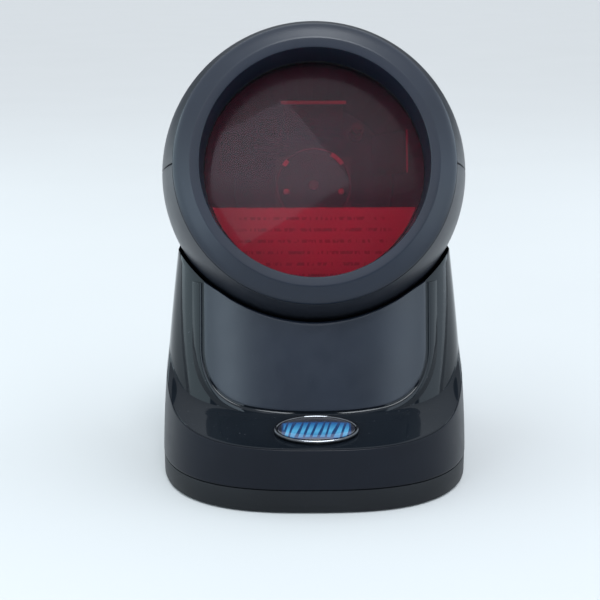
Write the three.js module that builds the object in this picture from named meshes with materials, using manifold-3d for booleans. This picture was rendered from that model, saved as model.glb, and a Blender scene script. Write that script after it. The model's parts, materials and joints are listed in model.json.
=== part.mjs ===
// Presentation barcode scanner: a ball-shaped laser head that tilts in a socket on a moulded desk stand.
// Millimetres, +Z up. The window faces -Y, and the origin is the middle of the footprint, on the table.

import * as THREE from 'three'
import { mergeVertices } from 'three/addons/utils/BufferGeometryUtils.js'
import Module from 'manifold-3d'

const wasm = await Module()
wasm.setup()

// ---------------------------------------------------------------- driving dimensions

const GAP = 0.3

const BALL_RADIUS = 50.9
const BALL_Y = 2
const BALL_Z = 99.5
const BALL_WALL = 2.2
const REST_TILT = 18.8
const TILT_LOWEST = 0
const TILT_HIGHEST = 30

const HALF_WIDTH = 52
const HALF_DEPTH = 53.5
const SQUARENESS = 2.72
const STAND_WALL = 2.4
const STAND_TOP = 92
const SHOULDER_DRAW = 5.8
const SHOULDER_CURVE = 1.45
const SEAM_Z = 7.8
const LEDGE_RISE = 6.6
const LEDGE_CURVE = 1.25
const TRIM_END_Y = 17
const PANEL_FOOT_Z = 27
const PANEL_FOOT_FRONT = 36.6
const PANEL_LEAN = 0.3
const PANEL_SIDE = 36.4
const PANEL_FOOT = 27.9
const PANEL_PROUD = 0.7
const SOCKET_RADIUS = BALL_RADIUS + 1.3
const OPENING_SIDE = BALL_RADIUS + 0.9
const OPENING_FRONT = BALL_RADIUS + 2.4
const RIM_SIDE_Z = 78
const SHOULDER_Z = 73
const RIM_BACK_Z = 84

const BALL_INSIDE = BALL_RADIUS - BALL_WALL
const RING_SEAM = 22.5
const RING_OUTER = 45.4
const RIM_PLANE = 25.4
const RIM_OUTER = 40
const RIM_INNER = 37.1
const WINDOW_LIP = 9.4
const WINDOW_OPENING = 36.6
const WINDOW_RADIUS = 37.6
const WINDOW_THICKNESS = 1.6
const LABEL_TOP = -12

const FRAME_FRONT = -6
const FRAME_BACK = -4
const FRAME_OUTER = 40
const TUB_MOUTH = 36.6
const TUB_END = 27.5
const TUB_WALL = 1.6
const TUB_FLOOR = 18
const OPTICS_SCREWS = 3
const OPTICS_SCREW_CIRCLE = 41
const MAIN_BOARD_Y = 24
const BOARD_POST_X = 18
const BOARD_POST_Z = 15
const HEAD_SCREW_X = 29
const HEAD_SCREW_Y = 26
const HEAD_SCREW_SEAT = -26

const WHEEL_Z = -3
const WHEEL_FRONT = 2
const WHEEL_HEIGHT = 7
const WHEEL_RADIUS = 13
const WHEEL_FACETS = 5
const SHAFT_RADIUS = 1.5
const LASER_X = -15
const LASER_Z = 16
const LASER_RADIUS = 4
const COLLECTOR_Z = -22.5
const MIRROR_LEAN = 45
const MIRROR_FRONT = -1.6

// Each flat mirror: middle of its front edge [x, z], the way it lies from the wheel, and its width.
const patternMirrors = [
  [0, 24, 90, 20],
  [30.4, 7.5, 0, 14],
  [-30.4, 7.5, 180, 14],
  [20.5, -24.5, -50, 14],
  [-20.5, -24.5, -130, 14],
]

const FOOT_RADIUS = 6
const FOOT_X = 33
const FOOT_Y = 36
const BASE_BOTTOM = 0.3
const BASE_FLOOR_TOP = 3.4
const BASE_SCREW_X = 39
const BASE_SCREW_Y = 22
const BASE_SCREW_HOLE = 1.8
const BASE_SCREW_SEAT = 4
const COUNTERBORE_RADIUS = 3.5
const JACK_WIDTH = 15.4
const JACK_HEIGHT = 13.4
const JACK_Z = 18

const TILT_SCREW_X = 10
const TILT_SCREW_RADIUS = 1.6
const WASHER_Z = 53.8

const BADGE_HALF_WIDTH = 13.5
const BADGE_HALF_HEIGHT = 6.7
const BADGE_Y = -44.9
const BADGE_Z = 24.95
const BADGE_SLOPE = 20.5

// ---------------------------------------------------------------- materials

function material(color, roughness, metalness = 0) {
  return new THREE.MeshStandardMaterial({ color, roughness, metalness })
}

const satinCharcoal = material(0x2b3038, 0.5)
const matteCharcoal = material(0x26282c, 0.65)
const glossBlack = material(0x12161b, 0.12)
const insideBlack = material(0x101114, 0.75)
const redWindow = material(0x5a0a18, 0.08)
const rubber = material(0x141414, 0.9)
const mirror = material(0xc8ccd0, 0.04, 1)
const steel = material(0x9a9ea3, 0.35, 1)
const brass = material(0xb08d4a, 0.3, 1)
const chrome = material(0xd0d3d6, 0.1, 1)
const boardGreen = material(0x1d4a2c, 0.6)
const labelWhite = material(0xd8d2d0, 0.6)
const badgeBlue = material(0x1c3f78, 0.15)
const greyLead = material(0x3a3a3c, 0.6)
const ledRed = material(0xb01818, 0.3)

// ---------------------------------------------------------------- solids

const radians = THREE.MathUtils.degToRad

// Turns a closed three.js geometry into a solid: shared corners are merged, collapsed triangles at poles
// are dropped, and the faces are made to point outwards.
function solid(geometry) {
  const plain = geometry.clone()
  plain.deleteAttribute('normal')
  plain.deleteAttribute('uv')
  const merged = mergeVertices(plain, 1e-4)
  const corners = merged.getAttribute('position')
  const triangles = []
  let volume = 0
  const a = new THREE.Vector3()
  const b = new THREE.Vector3()
  const c = new THREE.Vector3()
  for (let i = 0; i < merged.index.count; i += 3) {
    const [p, q, r] = [merged.index.getX(i), merged.index.getX(i + 1), merged.index.getX(i + 2)]
    if (p === q || q === r || r === p) continue
    triangles.push(p, q, r)
    a.fromBufferAttribute(corners, p)
    b.fromBufferAttribute(corners, q)
    c.fromBufferAttribute(corners, r)
    volume += a.dot(b.cross(c))
  }
  if (volume < 0) {
    for (let i = 0; i < triangles.length; i += 3) {
      [triangles[i], triangles[i + 1]] = [triangles[i + 1], triangles[i]]
    }
  }
  return new wasm.Manifold(new wasm.Mesh({
    numProp: 3,
    vertProperties: new Float32Array(corners.array),
    triVerts: new Uint32Array(triangles),
  }))
}

function addPiece(group, name, body, look) {
  const { vertProperties, triVerts } = body.getMesh()
  const geometry = new THREE.BufferGeometry()
  geometry.setAttribute('position', new THREE.BufferAttribute(new Float32Array(vertProperties), 3))
  geometry.setIndex(new THREE.BufferAttribute(new Uint32Array(triVerts), 1))
  geometry.computeVertexNormals()
  const piece = new THREE.Mesh(geometry, look)
  piece.name = name
  group.add(piece)
  return piece
}

function block(width, depth, height, x, y, z) {
  return solid(new THREE.BoxGeometry(width, depth, height).translate(x, y, z))
}

// An upright round bar from z0 to z1.
function post(radius, z0, z1, x, y, sides = 16) {
  const geometry = new THREE.CylinderGeometry(radius, radius, z1 - z0, sides)
  return solid(geometry.rotateX(Math.PI / 2).translate(x, y, (z0 + z1) / 2))
}

// A round bar along Y, from y0 to y1.
function bar(radius, y0, y1, x, z, sides = 16) {
  return solid(new THREE.CylinderGeometry(radius, radius, y1 - y0, sides).translate(x, (y0 + y1) / 2, z))
}

function ball(radius, sides = 36) {
  return solid(new THREE.SphereGeometry(radius, sides, sides / 2).translate(0, BALL_Y, BALL_Z))
}

// A ball about the same centre that is narrower along X.
function ellipsoid(side, front) {
  const geometry = new THREE.SphereGeometry(front, 48, 24)
  return solid(geometry.scale(side / front, 1, 1).translate(0, BALL_Y, BALL_Z))
}

// A body turned about the Y axis from [radius, y] corners.
function turned(corners, sides = 40) {
  return solid(new THREE.LatheGeometry(corners.map(([r, y]) => new THREE.Vector2(r, y)), sides))
}

// A side-view outline of [y, z] points, extruded along X over the given half width about x.
function sidePrism(outline, halfWidth, x = 0) {
  const shape = new THREE.Shape(outline.map(([y, z]) => new THREE.Vector2(y, z)))
  const geometry = new THREE.ExtrudeGeometry(shape, { depth: 2 * halfWidth, bevelEnabled: false })
  return solid(geometry.rotateX(Math.PI / 2).rotateZ(Math.PI / 2).translate(x - halfWidth, 0, 0))
}

// A front-view shape in [x, z], extruded along Y from y0 to y1.
function frontPrism(shape, y0, y1, curveSegments = 8) {
  const geometry = new THREE.ExtrudeGeometry(shape, { depth: y1 - y0, bevelEnabled: false, curveSegments })
  return solid(geometry.rotateX(Math.PI / 2).translate(0, y1, 0))
}

// ---------------------------------------------------------------- the stand's outer form

// Half width of the stand at height z: nearly upright at the foot, drawing in towards the shoulders.
function halfWidthAt(z) {
  return HALF_WIDTH - SHOULDER_DRAW * (Math.max(0, z - SEAM_Z) / (SHOULDER_Z - SEAM_Z)) ** SHOULDER_CURVE
}

// How far forward the column reaches at height z.
function columnFrontAt(z) {
  return PANEL_FOOT_FRONT - PANEL_LEAN * (z - PANEL_FOOT_Z)
}

// Height of the sharp edge between the matte housing and the glossy trim, seen from the side.
const edgeCurve = new THREE.SplineCurve([
  [-60, 20.8], [-53.5, 21.4], [-45, 22.9], [-38, 24.8], [-32, 27.1], [-26, 30.4], [-19, 34], [-11, 37],
  [-2, 41], [7, 48.5], [13, 58], [17, 70], [60, 92],
].map(([y, z]) => new THREE.Vector2(y, z)))

function edgeHeightAt(y) {
  let low = 0
  let high = 1
  for (let step = 0; step < 24; step++) {
    const middle = (low + high) / 2
    if (edgeCurve.getPoint(middle).x < y) low = middle
    else high = middle
  }
  return edgeCurve.getPoint(low).y
}

function superellipse(angle, halfWidth, front, back) {
  const c = Math.cos(angle)
  const s = Math.sin(angle)
  const reach = s < 0 ? front : back
  const power = 2 / SQUARENESS
  return [
    halfWidth * Math.sign(c) * Math.abs(c) ** power,
    reach * Math.sign(s) * Math.abs(s) ** power,
  ]
}

// A cylinder whose rings of corners are moved onto sections given by place(row, angle).
function loft(rowCount, place, sides = 44) {
  const geometry = new THREE.CylinderGeometry(1, 1, 1, sides, rowCount - 1)
  const corners = geometry.getAttribute('position')
  for (let i = 0; i < corners.count; i++) {
    const row = Math.round((0.5 + corners.getY(i)) * (rowCount - 1))
    const reach = Math.hypot(corners.getX(i), corners.getZ(i))
    const angle = Math.atan2(corners.getZ(i), corners.getX(i))
    const [x, y, z] = place(row, angle)
    corners.setXYZ(i, x * reach, y * reach, z)
  }
  return solid(geometry)
}

// The stand's whole outer form, drawn in by inset: a tower below the edge, then the ledge that runs back to
// the column, then the column with its wings. The top is cut away later by the socket and the rim.
function standForm(inset, bottom = SEAM_Z + GAP) {
  const below = [0, 0.4, 0.75]
  const above = [0, 0.03, 0.09, 0.18, 0.4, 0.7, 1]
  return loft(below.length + above.length, (row, angle) => {
    const [, footY] = superellipse(angle, HALF_WIDTH, HALF_DEPTH, HALF_DEPTH)
    const edge = edgeHeightAt(footY) - inset
    const climb = row < below.length ? 0 : above[row - below.length] * (STAND_TOP + inset - edge)
    const z = row < below.length ? bottom + below[row] * (edge - bottom) : edge + climb
    const ledge = Math.max(0, 1 - climb / LEDGE_RISE) ** LEDGE_CURVE
    const column = columnFrontAt(Math.max(z, PANEL_FOOT_Z))
    const front = column + (HALF_DEPTH - column) * ledge - inset
    return [...superellipse(angle, halfWidthAt(z) - inset, front, HALF_DEPTH - inset), z]
  })
}

// The plain tower without the ledge, which bounds the trim on its outside.
function tower(inset) {
  const heights = [SEAM_Z, 20, 32, 44, 56, 68, 80, STAND_TOP + 5]
  return loft(heights.length, (row, angle) => {
    const z = heights[row]
    const reach = HALF_DEPTH - inset
    return [...superellipse(angle, halfWidthAt(z) - inset, reach, reach), z]
  })
}

// Everything above the rim line, which climbs from the sides to the back.
function aboveRim(drop = 0) {
  const outline = [[-80, 140], [-80, RIM_SIDE_Z - drop]]
  for (let y = -4; y <= 56; y += 6) {
    const along = THREE.MathUtils.smoothstep(y, -4, 56)
    outline.push([y, RIM_SIDE_Z + (RIM_BACK_Z - RIM_SIDE_Z) * along - drop])
  }
  outline.push([80, RIM_BACK_Z - drop], [80, 140])
  return sidePrism(outline, 70)
}

// Everything in front of and above the edge, lowered by drop, so that it takes in the trim's thickness.
function aboveEdge(drop) {
  const outline = [[-70, 120], [-70, edgeHeightAt(-58) - drop]]
  for (let y = -56; y < TRIM_END_Y; y += 5) outline.push([y, edgeHeightAt(y) - drop])
  outline.push([TRIM_END_Y, edgeHeightAt(TRIM_END_Y) - drop], [TRIM_END_Y, 120])
  return sidePrism(outline, 70)
}

// Front-view outline of the satin panel: straight sides, round lower corners and a slightly bowed foot.
function panelOutline(grow) {
  const side = PANEL_SIDE + grow
  const foot = PANEL_FOOT - grow
  const shape = new THREE.Shape()
  shape.moveTo(-side, 80)
  shape.lineTo(-side, 47)
  shape.bezierCurveTo(-side, 36, -side + 6, foot + 3.2, -side + 15, foot + 1.9)
  shape.quadraticCurveTo(0, foot - 0.9, side - 15, foot + 1.9)
  shape.bezierCurveTo(side - 6, foot + 3.2, side, 36, side, 47)
  shape.lineTo(side, 80)
  return shape
}

// ---------------------------------------------------------------- stand pieces

// The ball turns in the cup's socket. The skin round it has a wider opening, widest in front.
const socket = ball(SOCKET_RADIUS)
const opening = ellipsoid(OPENING_SIDE, OPENING_FRONT)
const standSkin = standForm(0).subtract(standForm(STAND_WALL, 0)).subtract(opening).subtract(aboveRim())

function standShell() {
  const POST_RADIUS = 4
  const POST_BOTTOM = 6.3
  const POST_TOP = 21
  const PILOT_TOP = 16.3
  const RIB_LENGTH = 9.4
  const RIB_HEIGHT = 10
  const rebate = tower(0.9).intersect(aboveEdge(STAND_WALL + GAP + 0.6))
  const jackHole = block(JACK_WIDTH + 2 * GAP, 12, JACK_HEIGHT + 2 * GAP, 0, HALF_DEPTH, JACK_Z)
  let shell = standSkin.subtract(rebate).subtract(jackHole)
  for (const x of [-BASE_SCREW_X, BASE_SCREW_X]) {
    for (const y of [-BASE_SCREW_Y, BASE_SCREW_Y]) {
      const ribX = x + Math.sign(x) * RIB_LENGTH / 2
      const rib = block(RIB_LENGTH, 2, RIB_HEIGHT, ribX, y, POST_TOP - RIB_HEIGHT / 2)
      shell = shell.add(post(POST_RADIUS, POST_BOTTOM, POST_TOP, x, y)).add(rib)
      shell = shell.subtract(post(BASE_SCREW_HOLE, 0, PILOT_TOP, x, y, 12))
    }
  }
  return shell
}

function frontTrim() {
  const region = tower(1.2).intersect(aboveEdge(STAND_WALL + 0.6))
  return standSkin.intersect(region).subtract(frontPrism(panelOutline(GAP), -70, -4))
}

// The satin panel stands a little proud of the trim round it.
function frontPanel() {
  const face = (inset) => {
    const heights = [20, 26, 32, 44, 56, 68, 80]
    return loft(heights.length, (row, angle) => {
      const z = heights[row]
      const front = columnFrontAt(z) - inset
      return [...superellipse(angle, halfWidthAt(z) - inset, front, 30 - inset), z]
    })
  }
  const skin = face(-PANEL_PROUD).subtract(face(2))
  return skin.intersect(frontPrism(panelOutline(0), -70, -6)).subtract(opening)
}

function cradleCup() {
  const CUP_WALL = 2
  const PEDESTAL_RADIUS = 14
  const PEDESTAL_BOTTOM = 9
  const WEB_BOTTOM = 42
  const LEAD_HOLE_RADIUS = 5
  const bowl = ball(SOCKET_RADIUS + CUP_WALL).intersect(standForm(STAND_WALL + GAP, 0))
  const pedestal = post(PEDESTAL_RADIUS, PEDESTAL_BOTTOM, 56, 0, BALL_Y, 28)
  const pedestalBore = post(PEDESTAL_RADIUS - 2.5, 0, WEB_BOTTOM, 0, BALL_Y, 28)
  const leadHole = post(LEAD_HOLE_RADIUS, 30, 60, 0, BALL_Y, 20)
  const leadWindow = block(12, 14, 18, 0, BALL_Y + PEDESTAL_RADIUS, 15)
  let cup = bowl.add(pedestal.subtract(pedestalBore)).subtract(socket).subtract(aboveRim(1.2))
  cup = cup.subtract(leadHole).subtract(leadWindow)
  for (const x of [-TILT_SCREW_X, TILT_SCREW_X]) {
    cup = cup.subtract(post(TILT_SCREW_RADIUS + GAP, 30, 60, x, BALL_Y, 12))
  }
  return cup
}

function frictionPad(side) {
  const fine = 60
  const strip = ball(SOCKET_RADIUS - 0.45, fine).subtract(ball(BALL_RADIUS + 0.35, fine))
  return strip.intersect(block(10, 22, 60, side * 24, BALL_Y, 40))
}

function basePlate() {
  const LIP_TOP = SEAM_Z + 1.7
  const SCREW_BOSS_TOP = 6
  const FOOT_POCKET = 2.1
  const BOARD_BOSS_TOP = 8.7
  const BOARD_BOSS_X = 20
  const BOARD_BOSS_Y = 36
  const section = (inset, rows) => loft(rows.length, (row, angle) => {
    const [z, drawn] = rows[row]
    const reach = HALF_DEPTH - inset - drawn
    return [...superellipse(angle, HALF_WIDTH - inset - drawn, reach, reach), z]
  })
  const tray = section(0, [[BASE_BOTTOM, 0.9], [BASE_BOTTOM + 1, 0.2], [SEAM_Z, 0.1]])
  const lip = section(STAND_WALL + GAP, [[BASE_FLOOR_TOP, 0.1], [LIP_TOP, 0.1]])
  const hollow = section(STAND_WALL + 2, [[BASE_FLOOR_TOP, 0], [LIP_TOP + 5, 0]])
  let plate = tray.add(lip).subtract(hollow)
  for (const x of [-BASE_SCREW_X, BASE_SCREW_X]) {
    for (const y of [-BASE_SCREW_Y, BASE_SCREW_Y]) {
      plate = plate.add(post(COUNTERBORE_RADIUS + 1.5, 2, SCREW_BOSS_TOP, x, y))
      plate = plate.subtract(post(COUNTERBORE_RADIUS, 0, BASE_SCREW_SEAT, x, y))
      plate = plate.subtract(post(BASE_SCREW_HOLE, 0, SCREW_BOSS_TOP + 2, x, y, 12))
    }
  }
  for (const x of [-FOOT_X, FOOT_X]) {
    for (const y of [-FOOT_Y, FOOT_Y]) {
      plate = plate.subtract(post(FOOT_RADIUS + GAP, 0, FOOT_POCKET, x, y, 20))
    }
  }
  for (const x of [-BOARD_BOSS_X, BOARD_BOSS_X]) {
    plate = plate.add(post(2.5, 2, BOARD_BOSS_TOP, x, BOARD_BOSS_Y, 12))
  }
  return plate
}

function dataJack() {
  const back = HALF_DEPTH - 0.6
  const DEPTH = 17
  const CAVITY_DEPTH = 13
  const PLUG_WIDTH = 11.8
  const PLUG_HEIGHT = 7
  const LATCH_WIDTH = 6
  const body = block(JACK_WIDTH, DEPTH, JACK_HEIGHT, 0, back - DEPTH / 2, JACK_Z)
  const cavityY = back - (CAVITY_DEPTH - 1) / 2
  const cavity = block(PLUG_WIDTH, CAVITY_DEPTH + 1, PLUG_HEIGHT, 0, cavityY, JACK_Z + 0.6)
  const latchSlot = block(LATCH_WIDTH, CAVITY_DEPTH + 1, 4, 0, cavityY, JACK_Z - 3.4)
  return body.subtract(cavity.add(latchSlot))
}

// A tube of round section along a path of [x, y, z] points.
function lead(points, radius) {
  const path = new THREE.CatmullRomCurve3(points.map((p) => new THREE.Vector3(...p)))
  const section = new THREE.Shape().absarc(0, 0, radius, 0, 2 * Math.PI)
  return solid(new THREE.ExtrudeGeometry(section, {
    steps: points.length * 4,
    extrudePath: path,
    curveSegments: 5,
  }))
}

// ---------------------------------------------------------------- badge

function oval(halfWidth, halfHeight, z0, z1, dome = 0) {
  const geometry = new THREE.CylinderGeometry(1, 1, 1, 36, 1)
  const corners = geometry.getAttribute('position')
  for (let i = 0; i < corners.count; i++) {
    const onAxis = Math.hypot(corners.getX(i), corners.getZ(i)) < 0.5
    const top = corners.getY(i) > 0
    const z = top ? z1 + (onAxis ? dome : 0) : z0
    corners.setXYZ(i, corners.getX(i) * halfWidth, corners.getZ(i) * halfHeight, z)
  }
  return solid(geometry)
}

const badge = new THREE.Group()
badge.position.set(0, BADGE_Y, BADGE_Z)
badge.rotation.x = radians(BADGE_SLOPE)
const badgeOpening = oval(BADGE_HALF_WIDTH - 1, BADGE_HALF_HEIGHT - 1, -1, 3)
addPiece(badge, 'badge_rim', oval(BADGE_HALF_WIDTH, BADGE_HALF_HEIGHT, 0, 1.1).subtract(badgeOpening), chrome)
const insert = oval(BADGE_HALF_WIDTH - 1.3, BADGE_HALF_HEIGHT - 1.3, 0, 0.9, 0.9)
addPiece(badge, 'badge_insert', insert, badgeBlue)

// ---------------------------------------------------------------- stand assembly

const stand = new THREE.Group()
stand.add(badge)
addPiece(stand, 'stand_shell', standShell(), satinCharcoal)
addPiece(stand, 'front_trim', frontTrim(), glossBlack)
addPiece(stand, 'front_panel', frontPanel(), satinCharcoal)
addPiece(stand, 'cradle_cup', cradleCup(), matteCharcoal)
addPiece(stand, 'friction_pad_1', frictionPad(-1), rubber)
addPiece(stand, 'friction_pad_2', frictionPad(1), rubber)
addPiece(stand, 'base_plate', basePlate(), matteCharcoal)
addPiece(stand, 'ballast_plate', block(60, 50, 5, 0, -8, 6.2), steel)
addPiece(stand, 'interface_board', block(48, 19, 1.6, 0, 35, 9.8), boardGreen)
addPiece(stand, 'data_jack', dataJack(), insideBlack)

const standLead = [[0, 29, 13], [0, 22, 13], [0, 9, 15], [0, 3, 22], [0, BALL_Y, 32], [0, BALL_Y, 46]]
addPiece(stand, 'harness_stand', lead(standLead, 1.6), greyLead)

const corners = [[-1, -1], [1, -1], [1, 1], [-1, 1]]
corners.forEach(([sx, sy], i) => {
  const foot = post(FOOT_RADIUS, 0, 1.8, sx * FOOT_X, sy * FOOT_Y, 20)
  addPiece(stand, `foot_${i + 1}`, foot, rubber)
  const x = sx * BASE_SCREW_X
  const y = sy * BASE_SCREW_Y
  const screw = post(3.2, 1.7, 3.7, x, y).add(post(1.5, 3.5, 15, x, y, 12))
  addPiece(stand, `base_screw_${i + 1}`, screw, steel)
})

for (const [i, x] of [-TILT_SCREW_X, TILT_SCREW_X].entries()) {
  const washer = post(4, WASHER_Z, WASHER_Z + 0.8, x, BALL_Y, 20)
  const bore = post(TILT_SCREW_RADIUS + GAP, 50, 60, x, BALL_Y, 12)
  addPiece(stand, `tilt_washer_${i + 1}`, washer.subtract(bore), steel)
  const headZ = WASHER_Z + 0.8 + GAP
  const shank = post(TILT_SCREW_RADIUS, 40, headZ + 1, x, BALL_Y, 12)
  addPiece(stand, `tilt_screw_${i + 1}`, post(3.3, headZ, headZ + 2, x, BALL_Y).add(shank), steel)
}

// ---------------------------------------------------------------- head: ball
// The head is drawn about the ball's centre, with the window's axis along -Y, and then tilted as a group.

// [radius, y] points on a circle about the ball's centre, from one distance along -Y to another.
function arc(radius, from, to, steps) {
  const points = []
  for (let i = 0; i <= steps; i++) {
    const angle = THREE.MathUtils.lerp(Math.asin(from / radius), Math.asin(to / radius), i / steps)
    points.push([radius * Math.cos(angle), -radius * Math.sin(angle)])
  }
  return points
}

const hollowBall = turned([
  ...arc(BALL_RADIUS, -BALL_RADIUS, RING_SEAM - GAP, 14),
  ...arc(BALL_INSIDE, RING_SEAM - GAP, -BALL_INSIDE, 10),
])

// A slot through the ball's wall that follows the tilt, between two angles measured from straight down
// towards the back.
function tiltSlot(x, halfWidth, spareAngle) {
  const from = TILT_LOWEST - spareAngle
  const to = TILT_HIGHEST + spareAngle
  const outline = []
  for (const [radius, first, last] of [[54, from, to], [40, to, from]]) {
    for (let i = 0; i <= 8; i++) {
      const angle = radians(THREE.MathUtils.lerp(first, last, i / 8))
      outline.push([radius * Math.sin(angle), -radius * Math.cos(angle)])
    }
  }
  return sidePrism(outline, halfWidth, x)
}

// One half of the ball, with two bosses for the screws that hold the halves together.
function halfBall(up) {
  const bossLimit = turned(arc(BALL_INSIDE + 1, -BALL_INSIDE - 1, BALL_INSIDE + 1, 16), 32)
  const [bossBottom, bossTop] = up > 0 ? [GAP / 2, 60] : [-60, -GAP / 2]
  let shell = hollowBall.intersect(block(120, 120, 60, 0, 0, up * (30 + GAP / 2)))
  for (const x of [-HEAD_SCREW_X, HEAD_SCREW_X]) {
    shell = shell.add(post(4.6, bossBottom, bossTop, x, HEAD_SCREW_Y).intersect(bossLimit))
    if (up < 0) shell = shell.subtract(post(3.3, -60, HEAD_SCREW_SEAT, x, HEAD_SCREW_Y))
    shell = shell.subtract(post(1.7, -40, 10, x, HEAD_SCREW_Y, 12))
  }
  if (up > 0) return shell
  for (const x of [-TILT_SCREW_X, TILT_SCREW_X]) {
    shell = shell.subtract(tiltSlot(x, TILT_SCREW_RADIUS + 2 * GAP, 2.8))
  }
  return shell.subtract(tiltSlot(0, 3, 6))
}

// ---------------------------------------------------------------- head: ring and window

const SLEEVE_BACK = FRAME_FRONT - GAP

function opticsScrewPlace(index) {
  const angle = radians(90 + 120 * index)
  return [OPTICS_SCREW_CIRCLE * Math.cos(angle), OPTICS_SCREW_CIRCLE * Math.sin(angle)]
}

function bezelRing() {
  const sleeveOuter = WINDOW_RADIUS + 2
  const flangeOuter = 42.5
  const flangeBack = -RING_SEAM + 2
  let ring = turned([
    [RING_OUTER, -RING_SEAM],
    [RING_OUTER - 0.8, -RING_SEAM - 1.2],
    [RING_OUTER - 2.5, -RING_SEAM - 2.3],
    [RIM_OUTER, -RIM_PLANE],
    [RIM_INNER, -RIM_PLANE],
    [WINDOW_OPENING, -WINDOW_LIP],
    [WINDOW_RADIUS + GAP, -WINDOW_LIP],
    [WINDOW_RADIUS + GAP, SLEEVE_BACK],
    [sleeveOuter, SLEEVE_BACK],
    [sleeveOuter, flangeBack],
    [flangeOuter, flangeBack],
    [flangeOuter, -RING_SEAM],
    [RING_OUTER, -RING_SEAM],
  ], 48)
  for (let i = 0; i < OPTICS_SCREWS; i++) {
    const [x, z] = opticsScrewPlace(i)
    ring = ring.add(bar(2.4, flangeBack - 0.5, SLEEVE_BACK, x, z, 12))
    ring = ring.subtract(bar(1.4, flangeBack + 2, 0, x, z, 10))
  }
  return ring
}

// A flat ring about the window's axis.
function flatRing(inner, outer, y0, y1, sides = 40) {
  return turned([[inner, y0], [outer, y0], [outer, y1], [inner, y1], [inner, y0]], sides)
}

const GASKET_FRONT = -WINDOW_LIP + GAP
const GASKET_BACK = GASKET_FRONT + 0.6
const WINDOW_FRONT = GASKET_BACK + GAP
const WINDOW_BACK = WINDOW_FRONT + WINDOW_THICKNESS

// Straight-topped plate that fills the lower third behind the window.
function labelPlate() {
  const plateBack = FRAME_FRONT + 1.4
  const disc = bar(TUB_MOUTH - 0.8, plateBack - 0.8, plateBack, 0, 0, 40)
  return disc.intersect(block(90, 20, 60, 0, plateBack, LABEL_TOP - 30))
}

// ---------------------------------------------------------------- head: optics and drive

// Tub that carries the optics: a flange against the ring, a tapering wall and a flat floor.
function opticsFrame() {
  let tub = turned([
    [0, TUB_FLOOR],
    [TUB_END, TUB_FLOOR],
    [TUB_MOUTH, FRAME_FRONT],
    [FRAME_OUTER, FRAME_FRONT],
    [FRAME_OUTER, FRAME_BACK],
    [TUB_MOUTH + TUB_WALL, FRAME_BACK],
    [TUB_END + TUB_WALL, TUB_FLOOR + TUB_WALL],
    [0, TUB_FLOOR + TUB_WALL],
  ], 40)
  for (let i = 0; i < OPTICS_SCREWS; i++) {
    const [x, z] = opticsScrewPlace(i)
    tub = tub.add(bar(3, FRAME_FRONT, FRAME_BACK, x, z, 12))
    tub = tub.subtract(bar(1.6, FRAME_FRONT - 1, FRAME_BACK + 1, x, z, 10))
  }
  for (const x of [-BOARD_POST_X, BOARD_POST_X]) {
    for (const z of [-BOARD_POST_Z, BOARD_POST_Z]) {
      tub = tub.add(bar(2, TUB_FLOOR + 1, MAIN_BOARD_Y - GAP, x, z, 10))
    }
  }
  return tub
}

// A flat mirror whose front edge lies at [x, z]. It faces the wheel and leans back towards it.
function patternMirror([x, z, facing, width]) {
  const depth = 14
  const geometry = new THREE.BoxGeometry(width, 1.4, depth).translate(0, 0, -depth / 2)
  geometry.rotateX(radians(MIRROR_LEAN)).translate(0, MIRROR_FRONT, 0)
  return solid(geometry.rotateY(radians(90 - facing)).translate(x, 0, z))
}

// The mirror wheel: a ring of flat facets with a round cap in front.
function polygonWheel() {
  const facets = new THREE.CylinderGeometry(WHEEL_RADIUS - 2, WHEEL_RADIUS, WHEEL_HEIGHT, WHEEL_FACETS)
  const middle = WHEEL_FRONT + WHEEL_HEIGHT / 2 + 0.8
  const wheel = solid(facets.rotateX(Math.PI).translate(0, middle, WHEEL_Z))
  const cap = bar(WHEEL_RADIUS - 1, WHEEL_FRONT, WHEEL_FRONT + 1, 0, WHEEL_Z, 32)
  return wheel.add(cap).subtract(bar(SHAFT_RADIUS + GAP, -10, 30, 0, WHEEL_Z, 12))
}

const WHEEL_BACK = WHEEL_FRONT + WHEEL_HEIGHT + 0.8
const STATOR_FRONT = WHEEL_BACK + 0.5
const MOTOR_BOARD_BACK = TUB_FLOOR - GAP
const MOTOR_BOARD_FRONT = MOTOR_BOARD_BACK - 1.2
const STATOR_BACK = MOTOR_BOARD_FRONT - GAP

function motorStator() {
  const body = bar(10.5, STATOR_FRONT, STATOR_BACK, 0, WHEEL_Z, 28)
  return body.subtract(bar(SHAFT_RADIUS + GAP, STATOR_FRONT - 1, STATOR_BACK - 0.8, 0, WHEEL_Z, 12))
}

// Dished mirror that gathers the returned light: a disc with a ball-shaped hollow in its face.
function collectionMirror() {
  const dish = new THREE.SphereGeometry(24, 32, 16).translate(0, -17.5, COLLECTOR_Z)
  return bar(7, 4, 8, 0, COLLECTOR_Z, 24).subtract(solid(dish))
}

function mainBoard() {
  const board = block(46, 1.6, 38, 0, MAIN_BOARD_Y + 0.8, 0)
  const chips = [[11, 11, -10, 2], [8, 6, 10, -8], [12, 4, 4, 14]]
  return chips.reduce((sum, [width, height, x, z]) => (
    sum.add(block(width, 2.4, height, x, MAIN_BOARD_Y + 2.6, z))
  ), board)
}

function laserHolder() {
  const clamp = block(10, 6, 10, LASER_X, 8.4, LASER_Z).add(block(5, 9, 3, LASER_X, 13, LASER_Z - 3.4))
  return clamp.subtract(bar(LASER_RADIUS + GAP, 0, 17, LASER_X, LASER_Z, 16))
}

function foldMirror() {
  const geometry = new THREE.BoxGeometry(7, 1.2, 7)
  geometry.rotateX(radians(-20)).rotateZ(radians(35)).translate(LASER_X, -1.4, LASER_Z)
  return solid(geometry)
}

// ---------------------------------------------------------------- head assembly

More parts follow.
